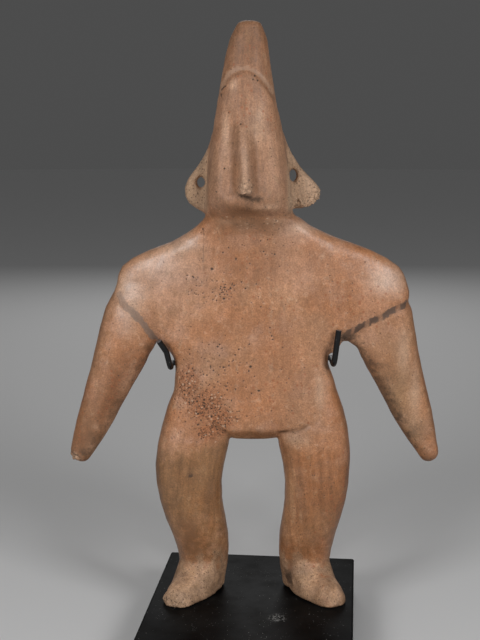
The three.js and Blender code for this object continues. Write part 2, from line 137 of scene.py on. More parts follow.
def make_active(piece):
    clear_selection()
    piece.select_set(True)
    bpy.context.view_layer.objects.active = piece


def copy_of_node(node_name, piece_name):
    """A separate copy of a CAD node's mesh, with its loose triangles merged."""
    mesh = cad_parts[node_name].data.copy()
    piece = bpy.data.objects.new(piece_name, mesh)
    bpy.context.scene.collection.objects.link(piece)
    make_active(piece)
    mesh.materials.clear()
    bpy.ops.object.mode_set(mode="EDIT")
    bpy.ops.mesh.select_all(action="SELECT")
    bpy.ops.mesh.remove_doubles(threshold=1e-6)
    bpy.ops.object.mode_set(mode="OBJECT")
    return piece


def apply_modifier(piece, kind, **settings):
    make_active(piece)
    modifier = piece.modifiers.new(kind.lower(), kind)
    for name, value in settings.items():
        setattr(modifier, name, value)
    bpy.ops.object.modifier_apply(modifier=modifier.name)


def points_of(piece):
    mesh = piece.data
    points = np.empty(len(mesh.vertices) * 3)
    mesh.vertices.foreach_get("co", points)
    return points.reshape(-1, 3)


def face_middles(piece):
    mesh = piece.data
    middles = np.empty(len(mesh.polygons) * 3)
    mesh.polygons.foreach_get("center", middles)
    return middles.reshape(-1, 3)


def ramp(values, zero_at, one_at):
    """0 on one side of the first value and 1 beyond the second, sloping between them."""
    return np.clip((values - zero_at) / (one_at - zero_at), 0, 1)


def on_front(points, depth=FRONT_DEPTH):
    """1 on the front of the figure, falling to 0 on its sides and back."""
    return ramp(points[:, 1], depth, depth - 3 * MM)


def near_pits(points, pits, widened=1.0):
    """1 in the middle of each pit on the front, a third at its rim, and 0 far off."""
    nearness = np.zeros(len(points))
    shapes = np.random.default_rng(11)
    for across, up, radius in pits:
        out_of_round = shapes.uniform(0.7, 1.3, 2)
        radii = radius * widened * MM * out_of_round
        apart = np.hypot((points[:, 0] - across * MM) / radii[0], (points[:, 2] - up * MM) / radii[1])
        nearness = np.maximum(nearness, np.exp(-(apart ** 2)))
    return nearness * on_front(points)


def near_line(points, line, width, depth=FRONT_DEPTH):
    """1 on a line drawn on the front, a third at the given width in mm from it, and 0 far off."""
    flat = points[:, [0, 2]]
    nearest = np.full(len(points), np.inf)
    for start, end in zip(line[:-1], line[1:]):
        start = np.array(start) * MM
        along = np.array(end) * MM - start
        share = np.clip((flat - start) @ along / (along @ along), 0, 1)
        nearest = np.minimum(nearest, np.linalg.norm(flat - start - share[:, None] * along, axis=1))
    return np.exp(-((nearest / (width * MM)) ** 2)) * on_front(points, depth)


def near_lines(points, lines, width, depth=FRONT_DEPTH):
    """The same for several lines."""
    return np.max([near_line(points, line, width, depth) for line in lines], axis=0)


def near_places(points, places):
    """1 in the middle of each place, a third at its reach, and 0 far off."""
    nearness = np.zeros(len(points))
    for middle, reach in places:
        apart = (points - np.array(middle) * MM) / (np.array(reach) * MM)
        nearness = np.maximum(nearness, np.exp(-(apart ** 2).sum(axis=1)))
    return nearness


def cut_finer(piece, chosen):
    """Divide the chosen faces, a list of true and false, each into four."""
    make_active(piece)
    bpy.ops.object.mode_set(mode="EDIT")
    bpy.ops.mesh.select_mode(type="FACE")
    bpy.ops.mesh.select_all(action="DESELECT")
    bpy.ops.object.mode_set(mode="OBJECT")
    piece.data.polygons.foreach_set("select", chosen)
    bpy.ops.object.mode_set(mode="EDIT")
    bpy.ops.mesh.subdivide(number_cuts=1, ngon=False)
    bpy.ops.object.mode_set(mode="OBJECT")


def apply_where(piece, weights, kind, **settings):
    """Apply a modifier to part of the piece, where and as far as the weights say."""
    group = piece.vertex_groups.new(name="worked")
    for index in np.nonzero(weights > 0.01)[0].tolist():
        group.add([index], float(weights[index]), "REPLACE")
    apply_modifier(piece, kind, vertex_group="worked", **settings)
    piece.vertex_groups.remove(piece.vertex_groups["worked"])


def press_in(piece, weights, depth):
    """Sink the surface, or raise it where the depth is less than nothing."""
    apply_where(piece, weights, "DISPLACE", strength=-depth, mid_level=0)


def roughen(piece, name, weights, size, depth):
    """Make the surface uneven in lumps of the given size."""
    lumps = bpy.data.textures.new(name, "CLOUDS")
    lumps.noise_scale = size
    lumps.noise_depth = 2
    apply_where(piece, weights, "DISPLACE", texture=lumps, texture_coords="LOCAL", strength=depth,
                mid_level=0.5)


def paint(piece, name, values):
    """Keep a number from 0 to 1 at each point, for the material to read by its name."""
    layer = piece.data.attributes.new(name, "FLOAT", "POINT")
    layer.data.foreach_set("value", np.clip(values, 0, 1))


def press_on(piece, balls):
    """Join balls of clay to the piece; the remeshing then makes one surface of them."""
    for middle, radii in balls:
        clear_selection()
        bpy.ops.mesh.primitive_uv_sphere_add(segments=24, ring_count=16, location=Vector(middle) * MM,
                                             scale=Vector(radii) * MM)
        ball = bpy.context.object
        make_active(piece)
        ball.select_set(True)
        bpy.ops.object.join()


def facing_aside(piece):
    """From -1 where the surface faces straight left to 1 where it faces straight right."""
    normals = np.empty(len(piece.data.vertices) * 3)
    piece.data.vertex_normals.foreach_get("vector", normals)
    return normals.reshape(-1, 3)[:, 0]


figure = copy_of_node("shaman_figure", "clay_figure")
press_on(figure, PRESSED_CLAY)
apply_modifier(figure, "REMESH", mode="VOXEL", voxel_size=CLAY_GRAIN, use_smooth_shade=True)
apply_modifier(figure, "SMOOTH", factor=0.5, iterations=20)
apply_modifier(figure, "SMOOTH", factor=-0.52, iterations=20)
for places, rounds in [(RUBBED_SMOOTH, 40), (RUBBED_LONGER, 160)]:
    rubbed = np.clip(1.5 * near_places(points_of(figure), places), 0, 1)
    apply_where(figure, rubbed, "SMOOTH", factor=0.5, iterations=rounds)

# Loose pits crowd in the worn place over the hip and are strewn over the chest, belly and knee.
scatter = np.random.default_rng(7)
all_pits = CHEST_PITS + BELLY_PITS + HEAD_PITS
for count, middle, reach, smallest, largest in LOOSE_PITS:
    for _ in range(count):
        all_pits.append((scatter.normal(middle[0], reach[0]), scatter.normal(middle[1], reach[1]),
                         scatter.uniform(smallest, largest)))

# The clay is cut finer where it has fine relief, and once more at the pits and the chipped ear.
middles = face_middles(figure)
lined = near_lines(middles, [ARCH, HIP_CREASE, CROTCH_CREASE, SHOULDER_SCRATCH], 2.2)
worn = near_places(middles, WORN_HIP + BROKEN_EDGES)
cut_finer(figure, (np.maximum(lined, worn) > 0.3) | (near_pits(middles, all_pits, 2.6) > 0.3))
middles = face_middles(figure)
chipped = near_places(middles, CHIPPED_EAR)
cut_finer(figure, (near_pits(middles, all_pits, 2.0) > 0.3) | (chipped > 0.35))

points = points_of(figure)
front = on_front(points)
above_soles = ramp(points[:, 2], SOLE_HEIGHT + 1 * MM, SOLE_HEIGHT + 4 * MM)
roughen(figure, "hand_modelling", above_soles, 22 * MM, 0.9 * MM)
roughen(figure, "finger_marks", above_soles, 7 * MM, 0.30 * MM)
roughen(figure, "worn_surface", near_places(points, WORN_HIP) * front, 1.6 * MM, 0.5 * MM)
roughen(figure, "broken_edges", near_places(points, BROKEN_EDGES), 2.2 * MM, 3.6 * MM)
roughen(figure, "rough_neck", near_places(points, ROUGH_NECK) * front, 3.2 * MM, 0.9 * MM)
press_in(figure, near_line(points, NOSE_RIDGE, 2.6), -0.6 * MM)
press_in(figure, near_lines(points, [LEFT_OF_NOSE, RIGHT_OF_NOSE], 2.4), 0.5 * MM)
press_in(figure, near_line(points, ARCH, 0.9), 0.22 * MM)
press_in(figure, near_line(points, HIP_CREASE, 1.5), 1.1 * MM)
press_in(figure, near_line(points, CROTCH_CREASE, 1.4), 0.7 * MM)
press_in(figure, near_pits(points, all_pits), 0.45 * MM)

# What the material reads: where the clay is pitted, worn, painted, dirty or pale, and where shade and
# highlights are painted. It is worked out from the places that the points had before the relief
# moved them.
across, up = points[:, 0] / MM, points[:, 2] / MM
paint(figure, "pits", near_pits(points, all_pits, 0.9))
paint(figure, "arch", near_line(points, ARCH, 1.4))
paint(figure, "left_band", near_line(points, LEFT_BAND, 2.8))
paint(figure, "right_band", near_line(points, RIGHT_BAND, 3.0))
paint(figure, "worn_hip", near_places(points, WORN_HIP) * front)

CRUMBLY_NECK = [((-3, -8, 235.8), (6.5, 6, 3)), ((-14, -7, 237.5), (6, 6, 1.8)),
                ((10, -8, 237.5), (6, 6, 1.5))]
paint(figure, "broken", np.maximum(near_places(points, BROKEN_EDGES),
                                   0.7 * near_places(points, CRUMBLY_NECK)))
# The hip and crotch creases are darkened as painted shade; the scratches and the tip's break are marks.
paint(figure, "creases", np.max([0.35 * near_lines(points, [HIP_CREASE, CROTCH_CREASE], 0.9),
                                 0.8 * near_lines(points, ARCH_SCRATCHES, 0.4),
                                 0.45 * near_line(points, SHOULDER_SCRATCH, 0.45),
                                 0.6 * near_line(points, LEFT_TIP_BREAK, 0.7, ARM_DEPTH)], axis=0))

# The parts of the body, by their height and their distance from the middle, in mm.
HEAD_MIDDLE = -3.5
from_middle = np.abs(across)
ears = ramp(np.abs(across - HEAD_MIDDLE), 20.5, 22.5) * ramp(up, 241, 244)
paint(figure, "ears", ears)
paint(figure, "head", ramp(up, 240, 246))
paint(figure, "legs", ramp(up + 0.25 * from_middle, 124, 112) * ramp(from_middle, 62, 58)
      * np.maximum(ramp(up, 20, 80), 0.35))
paint(figure, "feet", ramp(up, 52, 32))

# Pale places and painted highlights, on the body and the legs, then the head, then the arms: rubbed
# spots and flakes, the worn nose tip, the pale right ear and the left arm's pale tip, and painted
# highlights on the shoulders, the right waist, the nose ridge, the forehead, the chin and the right arm.
PALE_AND_HIGHLIGHT_PLACES = [((23.2, -5, 116), (7, 6, 5)), ((27, -4, 71.5), (1.2, 4, 3.2)),
               ((36.8, -4, 144), (2.5, 5, 12)), ((-44, -2, 224), (14, 6, 5)),
               ((26, -2, 234), (9, 6, 3)), ((-40, -18, 30), (14, 14, 8)),
               ((19, -4, 84), (5, 9, 20)), ((-12, -2, 84), (4, 9, 16)),
               ((-4.4, -22, 256), (3, 4, 6)), ((2, -13.5, 286), (4, 6, 6)),
               ((-4.6, -20, 268), (2.4, 5, 12)), ((30, 2, 257), (9, 12, 9)),
               ((3, -10, 293.5), (2.5, 6, 6)), ((-15, -9.5, 286), (2, 6, 10)),
               ((-11, -7, 309), (2.5, 6, 3)), ((7, -15, 246), (8, 5, 2)),
               ((-72, -2, 200), (5, 8, 9)), ((82, -2, 206), (7, 8, 7)), ((-66, -3, 190), (4, 6, 8)),
               ((72, -3, 205), (8, 6, 5)), ((-88, 0, 122), (2.5, 6, 2.5)), ((-90, 2, 108), (4, 8, 6)),
               ((-100.5, 3, 103), (3.5, 8, 3)), ((83, -2, 165), (3.5, 6, 14)),
               ((90, -1, 140), (3.5, 6, 16))]
pale_and_highlight_weights = np.maximum(near_places(points, PALE_AND_HIGHLIGHT_PLACES) * np.maximum(on_front(points, 10 * MM), ears),
                         0.45 * near_line(points, LEFT_ARM_RIM, 3.0, ARM_DEPTH))
paint(figure, "pale_and_highlight", pale_and_highlight_weights)

# Brown colour and painted shade: brown clay with painted shadow at the neck and under the chin, painted
# shade on the horn's top, under the trunk's lower edge and on all that faces aside except the insides of
# the legs, and brown clay on the left arm and on the right arm's tip and inner side.
BROWN_AND_SHADED_PLACES = [((-92, 4, 110), (14, 16, 25)), ((-77, 6, 134), (8, 16, 22)),
                ((98, 4, 101), (6, 12, 5)), ((-2, -5, 238), (22, 14, 7.5)),
                ((-3, -15, 244.5), (18, 8, 5.5))]
LIGHT_BROWN_AND_SHADED_PLACES = [((-3, -16, 245), (20, 8, 6.5)), ((-3, 0, 334), (16, 20, 18)),
                      ((-76, 2, 142), (12, 16, 16)), ((-66, 2, 160), (10, 14, 12)),
                      ((66, 0, 150), (8, 12, 20)), ((0, -2, 119), (22, 9, 2.4))]
CHEST_MIDDLE = [((-4, -5, 216), (18, 8, 18))]
aside = facing_aside(figure)
inside_legs = (aside * across < 0) & (from_middle < 62) & (up < 118)
# What faces aside is darkened as painted shade, less on the head and the insides of the legs.
sides_painted_shade = ramp(np.abs(aside), 0.55, 0.95) * np.maximum(ramp(up, 250, 230), 0.12)
sides_painted_shade = sides_painted_shade * (1 - ears) * np.where(inside_legs, 0.25, 1)
brown_and_shade = np.max([near_places(points, BROWN_AND_SHADED_PLACES), 0.6 * near_places(points, LIGHT_BROWN_AND_SHADED_PLACES),
                  0.85 * near_line(points, LEFT_ARM_STAIN, 3.6, ARM_DEPTH),
                  0.70 * sides_painted_shade, 0.3 * near_places(points, CHEST_MIDDLE)], axis=0)
paint(figure, "brown_and_shade", brown_and_shade * (1 - 0.7 * pale_and_highlight_weights))

# Burnished brightest, with a painted sheen laid on the colour: the shoulders and the tops of the arms.
BURNISHED_AND_SHEEN_PLACES = [((-68, -3, 198), (9, 9, 13)), ((-40, -2, 226), (11, 8, 5)),
                    ((26, -1, 234), (11, 8, 5)), ((74, -2, 205), (12, 9, 8)),
                    ((-70, -3, 184), (5, 8, 9)), ((-50, -3, 212), (14, 8, 9))]
paint(figure, "burnished_and_sheen", near_places(points, BURNISHED_AND_SHEEN_PLACES))

# Brown stains and painted shade: stains with painted shadow at the neck and under the chin, stains on
# the shins and at the arm tips, darker in the armpits with the right rod's painted shadow beside it,
# and painted shade in the valleys beside the nose and in the hip and crotch creases.
STAINS_AND_SHADE_PLACES = [((-5, -7, 236.5), (23, 9, 4.5)), ((-9, -12.6, 241.5), (13, 8, 3)),
          ((-21, -6, 241.5), (5, 6, 3)), ((-10, -8.5, 239), (8, 6, 2.2)),
          ((-38, -4, 62), (7, 8, 14)), ((-32, -5, 50), (10, 9, 7)), ((46, 2, 60), (6, 8, 16)),
          ((24, 6, 44), (5, 8, 10)), ((-90, 2, 114), (10, 10, 20)), ((-95.5, 2, 107), (4, 8, 4)),
          ((99, 3, 103), (6, 10, 5)), ((-58, 2, 167), (6, 6, 4)), ((43, -3, 164), (4, 6, 8)),
          ((51, -2, 173), (6, 6, 4))]
SHIN_STAINS = [((-36, -4, 61), (6, 8, 12)), ((-33, -2, 51), (7, 9, 7))]
paint(figure, "stains_and_shade", np.max([0.8 * near_places(points, STAINS_AND_SHADE_PLACES), near_places(points, SHIN_STAINS),
                                0.8 * near_line(points, LEFT_OF_NOSE, 2.0),
                                0.5 * near_line(points, RIGHT_OF_NOSE, 2.8),
                                0.7 * near_lines(points, [HIP_CREASE, CROTCH_CREASE], 1.6),
                                0.2 * near_line(points, LEFT_ARM_STAIN, 4.0, ARM_DEPTH)], axis=0))

# Darker places: a painted shadow under the nose, darker in the right armpit and at the right heel, grime
# in a pit on the left thigh, and dirt with painted shade along the inner edges of the arms.
DARKENED_PLACES = [((-5.4, -20, 252.2), (3.4, 5, 1.6)), ((-3.2, -18.5, 251.4), (4.4, 6, 2.4)),
                ((0.4, -17.4, 250.1), (4.4, 6, 2.1)), ((51, 1, 173), (7, 6, 4)),
                ((20.5, 5, 31), (3, 8, 6)), ((-34.6, -6.2, 95.7), (1.6, 3, 1.1))]
LEFT_TIP_SMUDGE = [((-95, 2, 107), (3.6, 8, 4))]
paint(figure, "grime_and_shade", np.max([near_places(points, DARKENED_PLACES),
                               0.55 * near_places(points, LEFT_TIP_SMUDGE),
                               0.33 * near_line(points, LEFT_ARM_INNER_EDGE, 5.0, ARM_DEPTH),
                               0.62 * near_line(points, RIGHT_ARM_INNER_EDGE, 6.0, ARM_DEPTH)], axis=0))

# Clouds of the fired colour: redder, more olive and greyer than the rest.
REDDISH_PLACES = [((62, -3, 193), (18, 6, 11)), ((-26, -5, 130), (9, 6, 7)),
                  ((48, -2, 80), (7, 12, 26)), ((-4, -5, 214), (16, 6, 12)),
                  ((18, -5, 160), (14, 6, 26)), ((101, 4, 102), (4, 8, 4)),
                  ((-5, -5, 323), (5, 6, 6)), ((-3, -8, 308), (6, 6, 5)),
                  ((-6, -12, 295), (5, 6, 7)), ((2, -10, 298), (3, 6, 4)), ((9, -8, 296), (5, 8, 16)),
                  ((38, -5, 48), (4, 12, 14)), ((-97, 6, 125), (4, 12, 22))]
paint(figure, "reddish", np.maximum(near_places(points, REDDISH_PLACES),
                                    near_line(points, LEFT_ARM_STAIN, 4.0, ARM_DEPTH)))
OLIVE_PLACES = [((80, -2, 140), (12, 10, 26)), ((88, -2, 118), (10, 10, 16)),
                ((-34, -10, 46), (8, 8, 5)), ((27, -8, 40), (8, 9, 12))]
paint(figure, "olive", near_places(points, OLIVE_PLACES))
GREYED_PLACES = [((-40, -4, 208), (24, 10, 20)), ((20, -5, 214), (22, 9, 14)),
                 ((-18, -14, 262), (6, 8, 22)), ((12, -14, 262), (6, 8, 22)),
                 ((-18, -16, 34), (10, 12, 8))]
paint(figure, "greyed", near_places(points, GREYED_PLACES))

# Left rough, without burnish: the neck, the arm tips and inner edges, the right ear and both hips.
ROUGH_PLACES = [((-3, -8, 239), (24, 12, 6)), ((23, -5, 117), (8, 8, 6)), ((98, 2, 104), (8, 10, 7)),
                ((-95, 0, 106), (8, 10, 6)), ((34, 6, 248), (14, 10, 6)),
                ((-32, -4, 138), (15, 10, 20)), ((-30, -4, 117), (12, 9, 7))]
arm_edges = near_lines(points, [LEFT_ARM_INNER_EDGE, RIGHT_ARM_INNER_EDGE], 7.0, ARM_DEPTH)
paint(figure, "rough", np.maximum(near_places(points, ROUGH_PLACES), arm_edges))

STROKE_TOP = 0.43  # the burnishing strokes fan out from a point this high,
STROKE_RANGE = 0.25  # have their given width this far below it,
STROKE_STRETCH = 0.045  # and lengthwise have only this share of their fineness across

TAN = (0.46, 0.235, 0.125, 1)
ORANGE_CLAY = (0.45, 0.195, 0.088, 1)
PINK_CLAY = (0.50, 0.27, 0.17, 1)
PALE_CLAY_AND_HIGHLIGHT = (0.60, 0.40, 0.27, 1)
OLIVE_CLAY = (0.295, 0.168, 0.080, 1)
BUFF_CLAY = (0.58, 0.39, 0.26, 1)
PAINTED_SHEEN = (0.60, 0.40, 0.30, 1)
RUST = (0.36, 0.13, 0.05, 1)
RED_SPECK = (0.32, 0.095, 0.035, 1)
BROWN_STAIN_AND_SHADE = (0.22, 0.105, 0.05, 1)
GRIME_AND_SHADE_COLOUR = (0.075, 0.042, 0.024, 1)
PIT_DARK = (0.035, 0.022, 0.014, 1)
WORN_PAINT = (0.19, 0.14, 0.112, 1)
DARK_PAINT = (0.105, 0.062, 0.042, 1)
DEPOSIT = (0.50, 0.36, 0.26, 1)

# The colours that the clay's colour is multiplied by where it is darker: painted shade on the head,
# painted shade with a browner tone on the legs, and brown colour with painted shade in the brown places.
HEAD_SHADE = (0.80, 0.80, 0.77, 1)
LEG_SHADE = (0.78, 0.71, 0.58, 1)
BROWN_SHADE = (0.48, 0.41, 0.31, 1)


def add_node(tree, kind, inputs=None, **settings):
    """A shader node with its settings, and its inputs set to values or joined to sockets."""
    made = tree.nodes.new(kind)
    for name, value in settings.items():
        setattr(made, name, value)
    for name, value in (inputs or {}).items():
        if isinstance(value, bpy.types.NodeSocket):
            tree.links.new(value, made.inputs[name])
        else:
            made.inputs[name].default_value = value
    return made


def worked_out(tree, operation, first, second=0.0):
    made = add_node(tree, "ShaderNodeMath", {0: first, 1: second}, operation=operation)
    return made.outputs[0]


def times(tree, first, second):
    return worked_out(tree, "MULTIPLY", first, second)


def plus(tree, first, second):
    return worked_out(tree, "ADD", first, second)


def less(tree, first, second):
    return worked_out(tree, "SUBTRACT", first, second)


def larger(tree, first, second):
    return worked_out(tree, "MAXIMUM", first, second)


def spread(tree, value, low, high, bottom=0.0, top=1.0):
    """The value stretched so that low becomes bottom and high becomes top."""
    made = add_node(tree, "ShaderNodeMapRange", {"Value": value, "From Min": low, "From Max": high,
                                                 "To Min": bottom, "To Max": top},
                    interpolation_type="SMOOTHSTEP")
    return made.outputs["Result"]


def mixed(tree, share, first, second, blend="MIX"):
    """The first colour with a share of the second laid over it, or blended in another way."""
    made = add_node(tree, "ShaderNodeMix", {0: share, 6: first, 7: second}, data_type="RGBA",
                    blend_type=blend)
    return made.outputs[2]


def cloudy(tree, place, fineness, detail=2.0, roughness=0.5):
    """Clouds of values round 0.5. The fineness is how many of them go into a metre."""
    made = add_node(tree, "ShaderNodeTexNoise", {"Vector": place, "Scale": fineness,
                                                 "Detail": detail, "Roughness": roughness})
    return made.outputs["Fac"]


def varied(tree, clouds, bottom, top, reach=0.2):
    """Clouds, whose values lie within the reach of 0.5, stretched to run from bottom to top."""
    return spread(tree, clouds, 0.5 - reach, 0.5 + reach, bottom, top)


def painted(tree, name):
    return add_node(tree, "ShaderNodeAttribute", attribute_name=name).outputs["Fac"]


def set_bumps(tree, surface, height, strength, distance):
    bump = add_node(tree, "ShaderNodeBump", {"Height": height, "Strength": strength,
                                             "Distance": distance})
    tree.links.new(bump.outputs["Normal"], surface.inputs["Normal"])


def speckle_group():
    """Loose specks, at most one in a cell. The fineness is how many cells go into a metre, the
    share is the part of them that hold a speck, and the size is a speck's size in its cell."""
    group = bpy.data.node_groups.new("speckle", "ShaderNodeTree")
    for name, kind in [("Place", "Vector"), ("Fineness", "Float"), ("Share", "Float"),
                       ("Size", "Float")]:
        group.interface.new_socket(name, in_out="INPUT", socket_type="NodeSocket" + kind)
    group.interface.new_socket("Mask", in_out="OUTPUT", socket_type="NodeSocketFloat")
    given = add_node(group, "NodeGroupInput").outputs
    cells = add_node(group, "ShaderNodeTexVoronoi", {"Vector": given["Place"],
                                                     "Scale": given["Fineness"]})
    lot = add_node(group, "ShaderNodeSeparateColor", {"Color": cells.outputs["Color"]}).outputs
    drawn = worked_out(group, "LESS_THAN", lot["Red"], given["Share"])
    reach = times(group, given["Size"], spread(group, lot["Green"], 0.0, 1.0, 0.5, 1.0))
    inside = add_node(group, "ShaderNodeMapRange", {"Value": cells.outputs["Distance"],
                                                    "From Min": reach,
                                                    "From Max": times(group, reach, 0.4),
                                                    "To Min": 0.0, "To Max": 1.0})
    result = add_node(group, "NodeGroupOutput")
    group.links.new(times(group, inside.outputs["Result"], drawn), result.inputs["Mask"])
    return group


SPECKLE = speckle_group()


def specks(tree, place, fineness, share, size):
    made = add_node(tree, "ShaderNodeGroup", {"Place": place, "Fineness": fineness, "Share": share,
                                              "Size": size}, node_tree=SPECKLE)
    return made.outputs["Mask"]


def new_material(name):
    """A material with its nodes, its shader, and the place on the piece for its patterns to read."""
    material = bpy.data.materials.new(name)
    material.use_nodes = True
    tree = material.node_tree
    place = add_node(tree, "ShaderNodeTexCoord").outputs["Object"]
    return material, tree, tree.nodes["Principled BSDF"], place


clay, tree, surface, place = new_material("fired_clay")
sides = add_node(tree, "ShaderNodeSeparateXYZ", {"Vector": place}).outputs

# Burnishing strokes run down the figure and fan out over the arms and legs.
below_top = less(tree, STROKE_TOP, sides["Z"])
fanned = times(tree, worked_out(tree, "DIVIDE", sides["X"], below_top), STROKE_RANGE)
drawn_out = times(tree, sides["Z"], STROKE_STRETCH)
stroke_place = add_node(tree, "ShaderNodeCombineXYZ", {"X": fanned, "Y": sides["Y"], "Z": drawn_out})
strokes = cloudy(tree, stroke_place.outputs[0], 520, 3, 0.6)
broad_strokes = cloudy(tree, stroke_place.outputs[0], 190, 2)
grain = cloudy(tree, place, 1200, 3, 0.65)
mottle = cloudy(tree, place, 330, 3, 0.6)

# Where each thing shows. The legs, the feet and the worn hip end in ragged edges.
smears = varied(tree, cloudy(tree, place, 260, 4, 0.7), -0.25, 0.25)
tongues = varied(tree, broad_strokes, -0.3, 0.3, 0.15)
head = painted(tree, "head")
ears = painted(tree, "ears")
pale_and_highlight = painted(tree, "pale_and_highlight")
burnished_and_sheen = painted(tree, "burnished_and_sheen")
reddish = painted(tree, "reddish")
broken = painted(tree, "broken")
legs = spread(tree, plus(tree, painted(tree, "legs"), smears), -0.1, 1.0)
feet = spread(tree, plus(tree, painted(tree, "feet"), plus(tree, smears, tongues)), 0.25, 0.75)
hip_edge = varied(tree, mottle, -0.25, 0.25)
ragged_hip = spread(tree, plus(tree, painted(tree, "worn_hip"), hip_edge), 0.2, 0.75)

# The fired colour: tan clay with orange, pink and pale clouds of several sizes, and tinted places; the
# pale tint also lays on the painted highlights, and the burnished tint a painted sheen.
colour = mixed(tree, spread(tree, cloudy(tree, place, 26, 3), 0.40, 0.62), TAN, ORANGE_CLAY)
pink_clouds = spread(tree, cloudy(tree, place, 70, 4, 0.6), 0.45, 0.68, 0, 0.7)
colour = mixed(tree, pink_clouds, colour, PINK_CLAY)
colour = mixed(tree, spread(tree, mottle, 0.55, 0.75, 0, 0.45), colour, PALE_CLAY_AND_HIGHLIGHT)
more_at_left = spread(tree, sides["X"], 0.02, -0.03, 0.0, 0.6)
for where, strength, tint in [(painted(tree, "greyed"), 0.55, PINK_CLAY),
                              (painted(tree, "olive"), 0.7, OLIVE_CLAY),
                              (reddish, 0.65, ORANGE_CLAY), (head, 0.45, PINK_CLAY),
                              (legs, more_at_left, OLIVE_CLAY), (feet, 0.6, BUFF_CLAY),
                              (ears, 0.75, BUFF_CLAY), (pale_and_highlight, 0.5, PALE_CLAY_AND_HIGHLIGHT),
                              (burnished_and_sheen, 0.45, PAINTED_SHEEN)]:
    colour = mixed(tree, times(tree, where, strength), colour, tint)

# Painted shade on the head and the legs, where the light falls off, with a browner tone on the legs,
# brown colour and painted shade in the brown places, and the light and dark of the strokes, the grain
# and the clouds.
shaded_head = larger(tree, less(tree, head, times(tree, pale_and_highlight, 0.9)), 0.0)
stroked = larger(tree, times(tree, head, 0.25), times(tree, legs, 0.4))
stroked = times(tree, plus(tree, 0.18, stroked), less(tree, 1.0, feet))
clouds = cloudy(tree, place, 62, 4, 0.65)
foot_clouds = cloudy(tree, place, 120, 4, 0.7)
for share, shade in [(shaded_head, HEAD_SHADE), (legs, LEG_SHADE),
                     (painted(tree, "brown_and_shade"), BROWN_SHADE),
                     (stroked, varied(tree, strokes, 0.68, 1.18)),
                     (stroked, varied(tree, broad_strokes, 0.84, 1.10, 0.15)),
                     (1.0, varied(tree, grain, 0.76, 1.16)), (1.0, varied(tree, mottle, 0.92, 1.06)),
                     (1.0, varied(tree, clouds, 0.88, 1.10, 0.15)),
                     (feet, varied(tree, foot_clouds, 0.76, 1.18, 0.15))]:
    colour = mixed(tree, share, colour, shade, "MULTIPLY")

# The worn place over the hip is rusty, and like the broken edges full of pale and dark crumbs.
colour = mixed(tree, times(tree, ragged_hip, 0.62), colour, RUST)
crumbly = larger(tree, ragged_hip, broken)
crumbs = varied(tree, cloudy(tree, place, 900, 4, 0.75), 0.5, 1.25, 0.15)
colour = mixed(tree, crumbly, colour, crumbs, "MULTIPLY")
pale_crumbs = specks(tree, place, 560, share=times(tree, crumbly, 0.55), size=0.55)
dark_crumbs = specks(tree, place, 760, share=times(tree, crumbly, 0.62), size=0.55)
colour = mixed(tree, times(tree, pale_crumbs, 0.75), colour, PALE_CLAY_AND_HIGHLIGHT)
colour = mixed(tree, times(tree, dark_crumbs, 0.85), colour, PIT_DARK)

# Orange-red specks in the reddish places.
red_specks = specks(tree, place, 460, share=times(tree, reddish, 0.75), size=0.48)
colour = mixed(tree, times(tree, red_specks, 0.65), colour, RED_SPECK)

# Worn bands of dark paint at the tops of the arms. The left one fades upwards, and the right one is
# laid on in dabs.
band_edge = varied(tree, mottle, -0.16, 0.16)
left_band = spread(tree, plus(tree, painted(tree, "left_band"), band_edge), 0.55, 0.66)
right_band = spread(tree, plus(tree, painted(tree, "right_band"), band_edge), 0.58, 0.80)
dabs = add_node(tree, "ShaderNodeTexWave", {"Vector": place, "Scale": 40.0, "Distortion": 2.5,
                                            "Detail": 1.0, "Detail Scale": 2.0},
                bands_direction="X").outputs["Fac"]
right_band = times(tree, right_band, spread(tree, dabs, 0.0, 0.35, 0.4, 0.95))
left_fade = spread(tree, sides["Z"], 0.197, 0.180, 0.42, 0.72)
colour = mixed(tree, times(tree, left_band, left_fade), colour, WORN_PAINT)
colour = mixed(tree, right_band, colour, DARK_PAINT)

# The pale deposit in the arch on the horn, and the bare clay of the broken edges.
arch = spread(tree, plus(tree, painted(tree, "arch"), varied(tree, mottle, -0.2, 0.2)), 0.3, 0.8)
colour = mixed(tree, times(tree, arch, 0.24), colour, DEPOSIT)
colour = mixed(tree, times(tree, broken, 0.35), colour, BUFF_CLAY)

# Brown stains with painted shade, dark grime with painted shadow and shade, dark specks, most of them
# where the clay is rough, and the hollows, with painted shade in the hip and crotch creases.
stains_and_shade = spread(tree, plus(tree, painted(tree, "stains_and_shade"), smears), 0.1, 1.2)
colour = mixed(tree, times(tree, stains_and_shade, 0.85), colour, BROWN_STAIN_AND_SHADE)
grime_and_shade = spread(tree, plus(tree, painted(tree, "grime_and_shade"), smears), 0.15, 1.0, 0, 0.92)
colour = mixed(tree, grime_and_shade, colour, GRIME_AND_SHADE_COLOUR)
gritty = larger(tree, larger(tree, ears, feet), larger(tree, broken, grime_and_shade))
gritty = larger(tree, gritty, times(tree, painted(tree, "rough"), 0.7))
gritty_share = plus(tree, 0.05, times(tree, gritty, 0.36))
dark_specks = larger(tree, specks(tree, place, 820, share=gritty_share, size=0.45),
                     specks(tree, place, 330, share=0.07, size=0.20))
colour = mixed(tree, times(tree, dark_specks, 0.7), colour, GRIME_AND_SHADE_COLOUR)
hollows = larger(tree, painted(tree, "pits"), painted(tree, "creases"))
colour = mixed(tree, spread(tree, hollows, 0.15, 0.75, 0, 0.9), colour, PIT_DARK)
tree.links.new(colour, surface.inputs["Base Color"])

